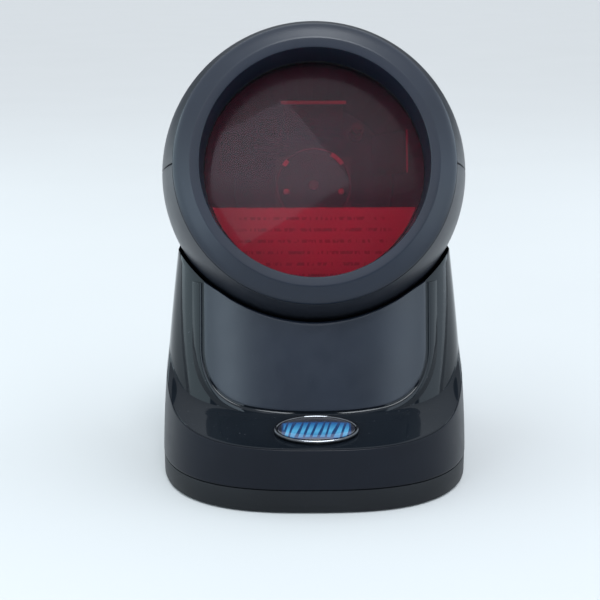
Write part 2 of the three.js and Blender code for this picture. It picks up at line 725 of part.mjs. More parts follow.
const head = new THREE.Group()
head.position.set(0, BALL_Y, BALL_Z)
head.rotation.x = radians(-REST_TILT)
addPiece(head, 'upper_shell', halfBall(1), satinCharcoal)
addPiece(head, 'lower_shell', halfBall(-1), satinCharcoal)
addPiece(head, 'bezel_ring', bezelRing(), satinCharcoal)
addPiece(head, 'window_gasket', flatRing(WINDOW_OPENING, WINDOW_RADIUS, GASKET_FRONT, GASKET_BACK), rubber)
addPiece(head, 'window', bar(WINDOW_RADIUS, WINDOW_FRONT, WINDOW_BACK, 0, 0, 48), redWindow)
addPiece(head, 'label_plate', labelPlate(), labelWhite)
addPiece(head, 'optics_frame', opticsFrame(), insideBlack)
patternMirrors.forEach((place, i) => {
  addPiece(head, `pattern_mirror_${i + 1}`, patternMirror(place), mirror)
})
addPiece(head, 'collection_mirror', collectionMirror(), mirror)
addPiece(head, 'laser_module', bar(LASER_RADIUS, 2.6, 16, LASER_X, LASER_Z, 16), brass)
addPiece(head, 'laser_holder', laserHolder(), insideBlack)
addPiece(head, 'fold_mirror', foldMirror(), mirror)
addPiece(head, 'motor_board', block(26, 1.2, 24, 0, MOTOR_BOARD_BACK - 0.6, WHEEL_Z), boardGreen)
addPiece(head, 'motor_stator', motorStator(), steel)
addPiece(head, 'motor_shaft', bar(SHAFT_RADIUS, WHEEL_FRONT - 0.6, STATOR_BACK - 1.4, 0, WHEEL_Z, 12), steel)
addPiece(head, 'polygon_wheel', polygonWheel(), mirror)
addPiece(head, 'main_board', mainBoard(), boardGreen)
addPiece(head, 'buzzer', bar(5.5, MAIN_BOARD_Y + 1.9, MAIN_BOARD_Y + 7, 11, 3, 20), insideBlack)
const detector = block(5, 1.4, 5, 0, -1.2, COLLECTOR_Z)
addPiece(head, 'detector_board', block(16, 1.2, 10, 0, -2.4, COLLECTOR_Z).add(detector), boardGreen)
const lens = bar(1.5, 3, 8, 15, 17, 12)
addPiece(head, 'status_led', lens.add(bar(2.4, 8, TUB_FLOOR - GAP, 15, 17, 12)), ledRed)

for (let i = 0; i < OPTICS_SCREWS; i++) {
  const [x, z] = opticsScrewPlace(i)
  const screw = bar(2.4, FRAME_BACK + GAP, FRAME_BACK + 1.8, x, z, 12)
  addPiece(head, `optics_screw_${i + 1}`, screw.add(bar(1.1, -13, FRAME_BACK + 1, x, z, 10)), steel)
}
for (const [i, x] of [-HEAD_SCREW_X, HEAD_SCREW_X].entries()) {
  const screw = post(3, HEAD_SCREW_SEAT - 2.3, HEAD_SCREW_SEAT - GAP, x, HEAD_SCREW_Y)
  const shank = post(1.4, HEAD_SCREW_SEAT - 1, 8, x, HEAD_SCREW_Y, 12)
  addPiece(head, `head_screw_${i + 1}`, screw.add(shank), steel)
}

const slotAngle = radians(REST_TILT)
const exit = (radius) => [0, radius * Math.sin(slotAngle), -radius * Math.cos(slotAngle)]
const headLead = [[0, MAIN_BOARD_Y + 4, -8], [0, MAIN_BOARD_Y + 5, -16], [0, 24, -29], exit(42), exit(50.2)]
addPiece(head, 'harness_head', lead(headLead, 1.6), greyLead)

const scanner = new THREE.Group()
scanner.add(stand, head)

export default scanner
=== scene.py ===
"""Presentation barcode scanner: fine surfaces, materials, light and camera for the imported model.

Lengths are in millimetres, in the frame of the CAD, and become metres when a mesh, light or camera is made.
"""

import json
import math

import bmesh
import bpy
from mathutils import Matrix, Vector

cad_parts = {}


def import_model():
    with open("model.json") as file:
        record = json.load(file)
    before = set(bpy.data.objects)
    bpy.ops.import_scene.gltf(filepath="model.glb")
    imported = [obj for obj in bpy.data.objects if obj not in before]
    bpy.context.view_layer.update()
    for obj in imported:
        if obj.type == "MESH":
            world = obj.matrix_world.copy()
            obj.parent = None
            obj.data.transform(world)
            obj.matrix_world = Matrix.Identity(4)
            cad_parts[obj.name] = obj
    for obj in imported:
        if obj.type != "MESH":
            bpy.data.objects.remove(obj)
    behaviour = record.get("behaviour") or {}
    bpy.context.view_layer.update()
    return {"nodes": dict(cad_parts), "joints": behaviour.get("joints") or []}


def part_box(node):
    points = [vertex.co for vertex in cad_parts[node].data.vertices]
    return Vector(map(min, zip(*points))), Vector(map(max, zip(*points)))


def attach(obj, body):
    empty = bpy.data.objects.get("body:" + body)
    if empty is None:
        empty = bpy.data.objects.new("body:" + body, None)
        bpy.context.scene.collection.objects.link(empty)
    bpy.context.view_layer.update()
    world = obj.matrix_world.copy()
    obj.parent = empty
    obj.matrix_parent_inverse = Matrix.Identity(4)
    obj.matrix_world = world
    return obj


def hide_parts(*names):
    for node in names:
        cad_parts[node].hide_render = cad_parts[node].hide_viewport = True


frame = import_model()

MM = 0.001
SMOOTH_ANGLE = math.radians(32)

# ---------------------------------------------------------------- driving dimensions


def corner_mm(node, which):
    """The lowest (0) or highest (1) corner of a node's box at rest."""
    return Vector(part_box(node)[which]) / MM


def joint(name):
    """The frame's entry for a joint."""
    return next(j for j in frame["joints"] if j["name"] == name)


# The head's own frame: its origin is the ball's centre, and the window faces -Y, tilted up by REST_TILT.
BALL = Vector(joint("head_tilt")["pos_m"]) / MM
WHEEL_AXIS = Vector(joint("polygon_spin")["axis"])
REST_TILT = math.atan2(WHEEL_AXIS.z, -WHEEL_AXIS.y)
HEAD_FRAME = Matrix.Translation(BALL * MM) @ Matrix.Rotation(-REST_TILT, 4, "X")

# The ball and its ring. Radii are about the window's axis, and planes are distances in front of the centre.
BALL_RADIUS = 50.9
BALL_WALL = 2.2
SPLIT_GAP = 0.3
RING_SEAM = 22.5
RING_OUTER = 45.7
RIM_PLANE = 25.4
RIM_OUTER = 40
RIM_INNER = 37.1

# The window and what lies behind it. A front or a back is a place along Y, and a top is one along Z.
WINDOW_LIP = 9.4
WINDOW_OPENING = 36.6
WINDOW_RADIUS = 37.6
WINDOW_FRONT = -WINDOW_LIP + 1.2
WINDOW_BACK = WINDOW_FRONT + 1.6
LABEL_RADIUS = 35.8
LABEL_TOP = -12
WHEEL_RADIUS = 13
WHEEL_HOLE = 1.8
WHEEL_FRONT = 2
WHEEL_Z = -3
WHEEL_FRAME = HEAD_FRAME @ Matrix.Translation(Vector((0, 0, WHEEL_Z)) * MM)

# The stand's tower
HALF_WIDTH = corner_mm("stand_shell", 1).x
HALF_DEPTH = corner_mm("stand_shell", 1).y
SQUARENESS = 2.72
STAND_WALL = 2.4
BASE_SEAM_Z = corner_mm("base_plate", 1).z - 1.7
SEAM_Z = BASE_SEAM_Z + 0.3
SHOULDER_DRAW = 5.8
SHOULDER_CURVE = 1.45
SHOULDER_Z = 73

# The rim of the opening for the head, and the heights that no outline reaches
OPENING_SIDE = BALL_RADIUS + 0.9
OPENING_FRONT = BALL_RADIUS + 2.4
RIM_SIDE_Z = 78
RIM_BACK_Z = 84
RIM_RISE_Y = -4
RIM_RISE_LENGTH = 60
OVER_STAND_Z = 95
OVER_TRIM_CLIMB = 80

# The ledge, the column above it and the trim over both
LEDGE_RISE = 6.6
LEDGE_CURVE = 1.25
COLUMN_FOOT_Z = 27
COLUMN_FOOT_FRONT = 36.6
COLUMN_LEAN = 0.3
TRIM_LIP = 0.3
TRIM_GROOVE = 0.15
TRIM_END_Y = 17

# The panel on the column
PANEL_PROUD = 0.7
PANEL_SIDE = 36.4
PANEL_FOOT_Z = 27.9

# The badge on the ledge
BADGE_HALF_WIDTH = corner_mm("badge_rim", 1).x
BADGE_HALF_HEIGHT = 6.7
BADGE_RIM_WIDTH = 1.15
BADGE_SIDES = 120
BADGE_TURN = Matrix.Rotation(math.radians(20.5), 4, "X")
BADGE_MIDDLE = (corner_mm("badge_rim", 0) + corner_mm("badge_rim", 1)) / 2
BADGE_HALF_DEPTH = Vector((0, 0, 0.55))
BADGE_FRAME = Matrix.Translation((BADGE_MIDDLE - BADGE_TURN @ BADGE_HALF_DEPTH) * MM) @ BADGE_TURN

# ---------------------------------------------------------------- meshes


def weld(mesh):
    """Joins the points of a mesh that coincide, and turns its faces outward."""
    shape = bmesh.new()
    shape.from_mesh(mesh)
    bmesh.ops.remove_doubles(shape, verts=shape.verts, dist=0.002 * MM)
    bmesh.ops.recalc_face_normals(shape, faces=shape.faces)
    shape.to_mesh(mesh)
    shape.free()


def new_object(name, data):
    """An object in the scene that shows a mesh, a light or a camera."""
    thing = bpy.data.objects.new(name, data)
    bpy.context.scene.collection.objects.link(thing)
    return thing


def add_mesh(name, points, faces, body, slot, look, replaced=(), place=None):
    """A piece from points in millimetres, shaded smoothly across all but its sharp edges."""
    mesh = bpy.data.meshes.new(name)
    mesh.from_pydata([Vector(p) * MM for p in points], [], faces)
    weld(mesh)
    mesh.shade_smooth()
    mesh.set_sharp_from_angle(angle=SMOOTH_ANGLE)
    mesh.materials.append(looks[look])
    piece = new_object(name, mesh)
    if place:
        piece.matrix_world = place
    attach(piece, body)
    if replaced:
        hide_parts(*replaced)
    return piece


def strip_faces(rows, columns, close_rows, close_columns):
    """Quads over a grid of rows by columns of points, wrapping round where a direction is closed."""
    faces = []
    for i in range(rows if close_rows else rows - 1):
        for j in range(columns if close_columns else columns - 1):
            below, above = i * columns, (i + 1) % rows * columns
            right = (j + 1) % columns
            faces.append((below + j, below + right, above + right, above + j))
    return faces


def turned(outline, sides, axis="Y", closed=True):
    """Points and faces of [radius, height] points turned about an axis."""
    points = []
    for radius, height in outline:
        for k in range(sides):
            angle = 2 * math.pi * k / sides
            across, up = radius * math.cos(angle), radius * math.sin(angle)
            points.append((across, height, up) if axis == "Y" else (across, up, height))
    return points, strip_faces(len(outline), sides, closed, True)


def moved(part, x, y, z):
    """A part's points shifted, with its faces."""
    points, faces = part
    return [(px + x, py + y, pz + z) for px, py, pz in points], faces


def joined(parts):
    """Several parts as one list of points and one of faces."""
    points, faces = [], []
    for more_points, more_faces in parts:
        start = len(points)
        points += more_points
        faces += [tuple(start + k for k in face) for face in more_faces]
    return points, faces


def rounded(corners, steps=5):
    """An outline of [a, b] points from corners [a, b, radius], each softened by its radius."""
    points = []
    for i, (a, b, radius) in enumerate(corners):
        here = Vector((a, b))
        before = Vector(corners[i - 1][:2]) - here
        after = Vector(corners[(i + 1) % len(corners)][:2]) - here
        if radius == 0:
            points.append(tuple(here))
            continue
        reach = radius / math.tan(before.angle(after) / 2)
        reach = min(reach, 0.45 * before.length, 0.45 * after.length)
        start = here + before.normalized() * reach
        end = here + after.normalized() * reach
        for step in range(steps + 1):
            t = step / steps
            points.append(tuple(start * (1 - t) ** 2 + here * 2 * t * (1 - t) + end * t * t))
    return points


def bezier(p0, p1, p2, p3, steps):
    """Points along a cubic curve, both ends included."""
    found = []
    for step in range(steps + 1):
        t = step / steps
        weights = ((1 - t) ** 3, 3 * t * (1 - t) ** 2, 3 * t * t * (1 - t), t ** 3)
        found.append(tuple(sum(w * p[k] for w, p in zip(weights, (p0, p1, p2, p3))) for k in (0, 1)))
    return found


def soft_block(low, high, radius):
    """A block with softened corners: a box whose edges are bevelled."""
    shape = bmesh.new()
    bmesh.ops.create_cube(shape, size=1)
    middle = [(a + b) / 2 for a, b in zip(low, high)]
    for vertex in shape.verts:
        vertex.co = Vector(m + c * (b - a) for m, c, a, b in zip(middle, vertex.co, low, high))
    bmesh.ops.bevel(shape, geom=shape.edges[:], offset=radius, segments=2, affect="EDGES", profile=0.5)
    shape.verts.index_update()
    part = [tuple(v.co) for v in shape.verts], [tuple(v.index for v in f.verts) for f in shape.faces]
    shape.free()
    return part


def share(count, start, end):
    """Evenly spaced values from start to end, both included."""
    return [start + (end - start) * i / (count - 1) for i in range(count)]


# ---------------------------------------------------------------- materials


def per_mm(size):
    """The texture scale, in metres, whose features are size millimetres across."""
    return 1 / (size * MM)


def toned(colour, factor):
    """A colour made darker or lighter."""
    return tuple(c * factor for c in colour)


class Shader:
    """A material's node tree, with short calls for the nodes used here."""

    def __init__(self, name):
        self.material = bpy.data.materials.new(name)
        self.material.use_nodes = True
        self.nodes = self.material.node_tree.nodes
        self.links = self.material.node_tree.links
        self.surface = self.nodes["Principled BSDF"]

    def set(self, **values):
        for socket, value in values.items():
            self.surface.inputs[socket.replace("_", " ")].default_value = value

    def feed(self, socket, output):
        self.links.new(output, self.surface.inputs[socket])

    def place(self):
        return self.nodes.new("ShaderNodeTexCoord").outputs["Object"]

    def axis(self, name):
        split = self.nodes.new("ShaderNodeSeparateXYZ")
        self.links.new(self.place(), split.inputs[0])
        return split.outputs[name]

    def noise(self, scale, detail=2.0, roughness=0.5, stretch=(1, 1, 1)):
        texture = self.nodes.new("ShaderNodeTexNoise")
        for socket, number in (("Scale", scale), ("Detail", detail), ("Roughness", roughness)):
            texture.inputs[socket].default_value = number
        mapping = self.nodes.new("ShaderNodeMapping")
        mapping.inputs["Scale"].default_value = stretch
        self.links.new(self.place(), mapping.inputs["Vector"])
        self.links.new(mapping.outputs["Vector"], texture.inputs["Vector"])
        return texture.outputs["Fac"]

    def spread(self, value, low, high, to_low, to_high):
        """A value stretched from low..high to to_low..to_high, held at both ends."""
        remap = self.nodes.new("ShaderNodeMapRange")
        remap.clamp = True
        ends = {"From Min": low, "From Max": high, "To Min": to_low, "To Max": to_high}
        for socket, number in ends.items():
            remap.inputs[socket].default_value = number
        self.links.new(value, remap.inputs["Value"])
        return remap.outputs["Result"]

    def maths(self, operation, *values):
        node = self.nodes.new("ShaderNodeMath")
        node.operation = operation
        for socket, value in zip(node.inputs, values):
            if isinstance(value, (int, float)):
                socket.default_value = value
            else:
                self.links.new(value, socket)
        return node.outputs[0]

    def within(self, value, half, soft=0.1):
        """1 where the size of value is under half, both in millimetres, with a soft edge."""
        return self.spread(self.maths("ABSOLUTE", value), (half - soft) * MM, (half + soft) * MM, 1, 0)

    def colours(self, factor, *ends):
        """A mix of two colours, each a colour or an output."""
        mix = self.nodes.new("ShaderNodeMix")
        mix.data_type = "RGBA"
        for socket, end in zip([s for s in mix.inputs if s.type == "RGBA"], ends):
            if isinstance(end, tuple):
                socket.default_value = (*end, 1)
            else:
                self.links.new(end, socket)
        self.links.new(factor, mix.inputs["Factor"])
        return mix.outputs[2]

    def bump(self, height, depth):
        node = self.nodes.new("ShaderNodeBump")
        node.inputs["Distance"].default_value = depth * MM
        self.links.new(height, node.inputs["Height"])
        self.links.new(node.outputs["Normal"], self.surface.inputs["Normal"])


def moulded(name, colour, roughness, grain, depth, specular=0.5):
    """Moulded plastic: a fine spark-eroded grain, slow tone changes and uneven gloss from handling."""
    look = Shader(name)
    look.set(Specular_IOR_Level=specular)
    tone = look.spread(look.noise(per_mm(24), 3), 0.35, 0.65, 0, 1)
    speck = look.spread(look.noise(per_mm(0.8), 2), 0.68, 0.76, 0, 0.5)
    plain = look.colours(tone, toned(colour, 0.82), colour)
    look.feed("Base Color", look.colours(speck, plain, toned(colour, 1.9)))
    gloss = look.noise(per_mm(6), 5, 0.6)
    look.feed("Roughness", look.spread(gloss, 0.3, 0.7, roughness - 0.02, roughness + 0.03))
    look.bump(look.noise(per_mm(grain), 4, 0.6), depth)
    return look.material


def lacquered(name, colour, roughness):
    """Polished plastic: nearly mirror smooth, with wiping marks in its gloss, lint and a faint waviness."""
    look = Shader(name)
    look.set(Specular_IOR_Level=0.19)
    tone = look.spread(look.noise(per_mm(30), 2), 0.4, 0.6, 0, 1)
    lint = look.spread(look.noise(per_mm(0.7), 2), 0.73, 0.78, 0, 0.6)
    plain = look.colours(tone, toned(colour, 0.85), colour)
    look.feed("Base Color", look.colours(lint, plain, (0.10, 0.10, 0.11)))
    marks = look.noise(per_mm(4), 6, 0.65, (1, 0.4, 1))
    look.feed("Roughness", look.spread(marks, 0.45, 0.75, roughness, roughness + 0.08))
    look.bump(look.noise(per_mm(11), 1), 0.02)
    return look.material


def metal(name, colour, roughness, brushed=0.4):
    """Bare metal: slow tone changes and fine brushed lines in its gloss."""
    look = Shader(name)
    look.set(Metallic=1.0)
    tone = look.spread(look.noise(per_mm(4), 3), 0.4, 0.6, 0, 1)
    look.feed("Base Color", look.colours(tone, toned(colour, 0.8), colour))
    lines = look.noise(per_mm(brushed), 3, 0.5, (1, 1, 6))
    look.feed("Roughness", look.spread(lines, 0.3, 0.7, roughness, roughness + 0.12))
    return look.material


def soft_rubber(name, colour):
    """Dull rubber: a mottled tone and a dusty, fine-grained surface."""
    look = Shader(name)
    look.set(Specular_IOR_Level=0.3)
    look.feed("Base Color", look.colours(look.noise(per_mm(2), 4), colour, toned(colour, 1.7)))
    look.feed("Roughness", look.spread(look.noise(per_mm(1.2), 3), 0.3, 0.7, 0.72, 0.9))
    look.bump(look.noise(per_mm(0.3), 3), 0.02)
    return look.material


def red_glass(name):
    """The tinted window: see-through red plastic with dull reflections and a thin, uneven film of dust."""
    look = Shader(name)
    look.set(Base_Color=(0.50, 0.038, 0.095, 1), Transmission_Weight=1.0, IOR=1.2, Roughness=0.0)
    look.set(Coat_Weight=0.2, Coat_Roughness=0.22)
    film = look.nodes.new("ShaderNodeBsdfDiffuse")
    film.inputs["Color"].default_value = (0.72, 0.76, 1.0, 1)
    mixed = look.nodes.new("ShaderNodeMixShader")
    wiped = look.noise(per_mm(14), 4, 0.6, (1, 1, 0.5))
    look.links.new(look.spread(wiped, 0.3, 0.7, 0.006, 0.010), mixed.inputs["Fac"])
    look.links.new(look.surface.outputs[0], mixed.inputs[1])
    look.links.new(film.outputs[0], mixed.inputs[2])
    look.links.new(mixed.outputs[0], look.nodes["Material Output"].inputs["Surface"])
    return look.material


def printed_label(name):
    """Pale label: rows of small dark bars stand for its print, fading towards their ends."""
    row_pitch, first_row = 3.8, 3.7
    row_half_height, row_soft_height = 0.45, 0.62
    print_half_width, label_half_width = 22, 28
    look = Shader(name)
    look.set(Roughness=0.5)
    height = look.maths("SUBTRACT", look.axis("Z"), (LABEL_TOP - first_row) * MM)
    to_row = look.maths("PINGPONG", height, row_pitch / 2 * MM)
    on_row = look.spread(to_row, row_half_height * MM, row_soft_height * MM, 1, 0)
    bars = look.spread(look.noise(per_mm(0.9), 1, 0.5, (1, 0.2, 0.22)), 0.45, 0.54, 0, 1)
    from_middle = look.maths("ABSOLUTE", look.axis("X"))
    middle = look.spread(from_middle, print_half_width * MM, label_half_width * MM, 1, 0)
    ink = look.maths("MULTIPLY", look.maths("MULTIPLY", on_row, bars), middle)
    faded = look.maths("MULTIPLY", ink, 0.45)
    look.feed("Base Color", look.colours(faded, (0.82, 0.76, 0.76), (0.12, 0.1, 0.1)))
    return look.material


def circuit_board(name):
    """Green board: lacquered fields with paler tracks between them."""
    look = Shader(name)
    tracks = look.nodes.new("ShaderNodeTexBrick")
    tracks.inputs["Scale"].default_value = per_mm(12)
    look.links.new(look.place(), tracks.inputs["Vector"])
    for socket, colour in (("Color1", (0.012, 0.06, 0.025)), ("Color2", (0.016, 0.075, 0.032)),
                           ("Mortar", (0.05, 0.14, 0.06))):
        tracks.inputs[socket].default_value = (*colour, 1)
    look.feed("Base Color", tracks.outputs["Color"])
    look.feed("Roughness", look.spread(look.noise(per_mm(3), 2), 0.3, 0.7, 0.3, 0.5))
    return look.material


def badge_face(name):
    """Clear resin over a dark oval, with slanted blue bars of uneven width, brightest half-way up."""
    field_half_width, field_half_height = 11, 3.9
    mark_half_width, mark_half_height = 10.4, 3.4
    half_pitch, slant, wobble = 1.15, -0.3, 1.6
    look = Shader(name)
    look.set(Roughness=0.25, Coat_Weight=1.0, Coat_Roughness=0.02)
    x = look.axis("X")
    y = look.maths("ADD", look.axis("Y"), 1.2 * MM)
    slanted = look.maths("MULTIPLY_ADD", y, slant, x)
    uneven = look.noise(per_mm(3.1), 0, 0.5, (1, 0, 0))
    across = look.maths("MULTIPLY_ADD", uneven, wobble * MM, slanted)
    bars = look.spread(look.maths("PINGPONG", across, half_pitch * MM), 0.38 * MM, 0.5 * MM, 0, 1)
    field = look.maths("MULTIPLY", look.within(x, field_half_width), look.within(y, field_half_height))
    mark = look.maths("MULTIPLY", look.within(x, mark_half_width), look.within(y, mark_half_height))
    from_middle = look.maths("ABSOLUTE", look.maths("ADD", y, 0.6 * MM))
    middle = look.spread(from_middle, 0, 3.6 * MM, 1, 0)
    blue = look.colours(middle, (0.008, 0.07, 0.19), (0.06, 0.25, 0.40))
    ground = look.colours(field, (0.010, 0.010, 0.016), (0.008, 0.03, 0.09))
    look.feed("Base Color", look.colours(look.maths("MULTIPLY", mark, bars), ground, blue))
    return look.material


looks = {
    "satin_charcoal": moulded("satin_charcoal", (0.013, 0.015, 0.021), 0.36, 0.30, 0.006, 0.42),
    # ring_satin_shaded: darker and bluer than the shells' satin charcoal; the darkening is painted shade
    # for the ring's dim lower roll.
    "ring_satin_shaded": moulded("ring_satin_shaded", (0.007, 0.011, 0.021), 0.33, 0.30, 0.006, 0.38),
    "panel_satin": moulded("panel_satin", (0.009, 0.013, 0.022), 0.34, 0.25, 0.012, 0.42),
    # housing: a darker copy of the base's matte charcoal, as painted shade for the stand's dim front band.
    "housing": moulded("housing", (0.0045, 0.006, 0.0105), 0.36, 0.35, 0.006, 0.18),
    "matte_charcoal": moulded("matte_charcoal", (0.008, 0.009, 0.011), 0.46, 0.35, 0.012, 0.2),
    "gloss_black": lacquered("gloss_black", (0.006, 0.008, 0.011), 0.04),
    "inner_black": moulded("inner_black", (0.003, 0.003, 0.0035), 0.55, 0.5, 0.02, 0.2),
    "red_window": red_glass("red_window"),
    "rubber": soft_rubber("rubber", (0.010, 0.010, 0.010)),
    "mirror": metal("mirror", (0.10, 0.10, 0.11), 0.08, 3),
    "dark_steel": metal("dark_steel", (0.12, 0.12, 0.13), 0.3),
    "steel": metal("steel", (0.45, 0.46, 0.48), 0.3),
    "brass": metal("brass", (0.25, 0.17, 0.07), 0.35),
    "chrome": metal("chrome", (0.12, 0.125, 0.135), 0.1, 2),
    "board": circuit_board("board"),
    "label": printed_label("label"),
    "badge_blue": badge_face("badge_blue"),
    # frosted_edge: a pale colour that paints glints on the wheel's tabs and on the mirrors' front edges.
    "frosted_edge": moulded("frosted_edge", (0.75, 0.70, 0.70), 0.5, 0.4, 0.01),
    "lead": soft_rubber("lead", (0.03, 0.03, 0.032)),
    "led": moulded("led", (0.04, 0.006, 0.006), 0.3, 1.0, 0.002),
}

# ---------------------------------------------------------------- head


def in_head(points):
    """Points drawn about the ball's centre, tilted with the head and moved to its place."""
    turn = Matrix.Rotation(-REST_TILT, 3, "X")
    return [BALL + turn @ Vector(p) for p in points]


def bezel_ring():
    """The ring: it rolls from the seam over the ball's curve to a flat rim, then drops to the window."""
    start = (RING_OUTER, -RING_SEAM - 0.3)
    end = (RIM_OUTER + 0.3, -RIM_PLANE)
    flange, sleeve, sleeve_end = 42.5, WINDOW_RADIUS + 2, -6.3
    seat = WINDOW_RADIUS + 0.3
    outline = [(flange, -RING_SEAM), (RING_OUTER - 0.5, -RING_SEAM), (RING_OUTER - 0.12, -RING_SEAM - 0.08)]
    outline += bezier(start, (start[0] - 0.55, start[1] - 1.1), (end[0] + 2.6, end[1] + 1.0), end, 14)
    outline += [(RIM_OUTER + 0.1, -RIM_PLANE - 0.04), (RIM_OUTER - 0.3, -RIM_PLANE)]
    outline += [(RIM_INNER + 0.45, -RIM_PLANE), (RIM_INNER + 0.2, -RIM_PLANE + 0.05)]
    outline += [(RIM_INNER + 0.05, -RIM_PLANE + 0.2), (RIM_INNER, -RIM_PLANE + 0.5)]
    outline += [(WINDOW_OPENING + 0.02, -WINDOW_LIP - 0.3), (WINDOW_OPENING, -WINDOW_LIP)]
    outline += [(seat, -WINDOW_LIP), (seat, sleeve_end), (sleeve, sleeve_end)]
    outline += [(sleeve, -RING_SEAM + 2), (flange, -RING_SEAM + 2)]
    points, faces = turned(outline, 220)
    # The ring's look is satin charcoal darkened as painted shade for its lower roll.
    add_mesh("bezel_ring_fine", in_head(points), faces, "head", "satin_charcoal", "ring_satin_shaded",
             ["bezel_ring"])


def half_ball_outline():
    """The [radius, height] outline of half a ball's wall, with a softened edge at its split."""
    start = SPLIT_GAP / 2
    soft_edge = ((start, 0.3), (start + 0.06, 0.14), (start + 0.18, 0.04), (start + 0.36, 0))
    outline = [(math.sqrt(BALL_RADIUS ** 2 - z ** 2) - drawn, z) for z, drawn in soft_edge]
    first = math.asin(soft_edge[-1][0] / BALL_RADIUS)
    for angle in share(46, first, math.pi / 2)[1:]:
        outline.append((BALL_RADIUS * math.cos(angle), BALL_RADIUS * math.sin(angle)))
    inside = BALL_RADIUS - BALL_WALL
    for angle in share(17, math.pi / 2, 0):
        outline.append((inside * math.cos(angle), max(start, inside * math.sin(angle))))
    return outline


def half_ball(name, up):
    """Half of the ball's shell, split level with its middle and cut off in front for the ring."""
    points, faces = turned([(r, up * z) for r, z in half_ball_outline()], 180, "Z")
    cut_y = 0.6 - RING_SEAM
    cut = bmesh.new()
    corners = [cut.verts.new(p) for p in points]
    for face in faces:
        cut.faces.new([corners[k] for k in face])
    bmesh.ops.remove_doubles(cut, verts=cut.verts, dist=0.01)
    bmesh.ops.bisect_plane(cut, geom=cut.verts[:] + cut.edges[:] + cut.faces[:], clear_outer=True,
                           plane_co=(0, cut_y, 0), plane_no=(0, -1, 0))
    bmesh.ops.holes_fill(cut, edges=[e for e in cut.edges if e.is_boundary], sides=0)
    cut.verts.index_update()
    points = [tuple(v.co) for v in cut.verts]
    faces = [tuple(v.index for v in f.verts) for f in cut.faces]
    cut.free()
    add_mesh(name + "_fine", in_head(points), faces, "head", "satin_charcoal", "satin_charcoal",
             [name])


def window():
    """The flat red window: a disc with softened edges."""
    soft = 0.3
    outline = rounded([(0, WINDOW_FRONT, 0), (WINDOW_RADIUS, WINDOW_FRONT, soft),
                       (WINDOW_RADIUS, WINDOW_BACK, soft), (0, WINDOW_BACK, 0)])
    points, faces = turned(outline, 128)
    add_mesh("window_fine", points, faces, "head", "red_window", "red_window", ["window"],
             HEAD_FRAME)


def label_plate():
    """A thin plate filling the round window below a straight top edge."""
    front, back, columns = WINDOW_BACK + 1.0, WINDOW_BACK + 1.8, 96
    half = math.sqrt(LABEL_RADIUS ** 2 - LABEL_TOP ** 2)
    points = []
    for y in (front, back):
        for x in share(columns, -half, half):
            points.append((x, y, LABEL_TOP))
            points.append((x, y, -math.sqrt(max(0, LABEL_RADIUS ** 2 - x ** 2))))
    faces = []
    for i in range(columns - 1):
        a, c = 2 * i, 2 * (i + columns)
        faces += [(a, a + 1, a + 3, a + 2), (c, c + 2, c + 3, c + 1)]
        faces += [(a, a + 2, c + 2, c), (a + 1, c + 1, c + 3, a + 3)]
    add_mesh("label_plate_fine", points, faces, "head", "label", "label", ["label_plate"], HEAD_FRAME)


def add_to_wheel(name, part, slot, look, replaced=()):
    """A piece of the mirror wheel, drawn about the wheel's own middle."""
    add_mesh("wheel_" + name, *part, "scan_rotor", slot, look, replaced, WHEEL_FRAME)


def wheel_cap():
    """The black cap in front of the facets, and the bright rim round it."""
    edge, back = WHEEL_RADIUS - 0.9, WHEEL_FRONT + 1.2
    cap = [(WHEEL_HOLE, WHEEL_FRONT + 0.5, 0.1), (2 * WHEEL_HOLE, WHEEL_FRONT, 0.2),
           (edge, WHEEL_FRONT + 0.3, 0.2), (edge, back, 0), (WHEEL_HOLE, back, 0)]
    add_to_wheel("cap", turned(rounded(cap, 3), 96), "inner_black", "inner_black", ["polygon_wheel"])
    inner, outer = WHEEL_RADIUS - 0.8, WHEEL_RADIUS - 0.35
    rim = [(inner, WHEEL_FRONT + 0.4, 0.1), (outer, WHEEL_FRONT + 0.5, 0.1), (outer, back, 0),
           (inner, back, 0)]
    add_to_wheel("rim", turned(rounded(rim, 3), 96), "mirror", "dark_steel")


def wheel_facets():
    """Five leaning mirror faces behind the cap."""
    front, back = WHEEL_FRONT + 1.3, WHEEL_FRONT + 7.8
    rows = [(WHEEL_RADIUS - 2.4, front), (WHEEL_RADIUS - 2, front + 0.2), (WHEEL_RADIUS - 0.4, back - 0.4),
            (WHEEL_RADIUS - 0.8, back), (WHEEL_HOLE, back), (WHEEL_HOLE, front)]
    add_to_wheel("facets", turned(rows, 5), "mirror", "mirror")


def wheel_glint_tabs():
    """Two curved pale tabs near the edge of the cap, which paint glints on the wheel."""
    inner, outer, front, back, steps = 11.2, 12.6, WHEEL_FRONT - 0.25, WHEEL_FRONT + 0.45, 9
    for number, middle, half_angle in ((1, 48, 12), (2, 142, 5)):
        points = []
        for angle in share(steps, math.radians(middle - half_angle), math.radians(middle + half_angle)):
            for radius, y in ((inner, front), (outer, front), (outer, back), (inner, back)):
                points.append((radius * math.cos(angle), y, radius * math.sin(angle)))
        ends = [(0, 1, 2, 3), tuple(range(len(points) - 4, len(points)))]
        faces = strip_faces(steps, 4, False, True) + ends
        # The tabs' pale colour is a painted glint.
        add_to_wheel(f"glint_tab_{number}", (points, faces), "mirror", "frosted_edge")


def wheel_screws():
    """Two screw heads on the cap."""
    head = rounded([(0, WHEEL_FRONT - 0.4, 0), (1.0, WHEEL_FRONT - 0.3, 0.2), (1.1, WHEEL_FRONT + 0.3, 0),
                    (0, WHEEL_FRONT + 0.3, 0)], 3)
    for number, x in ((1, -9.2), (2, 9.2)):
        add_to_wheel(f"screw_{number}", moved(turned(head, 24), x, 0, -2.4), "steel", "steel")


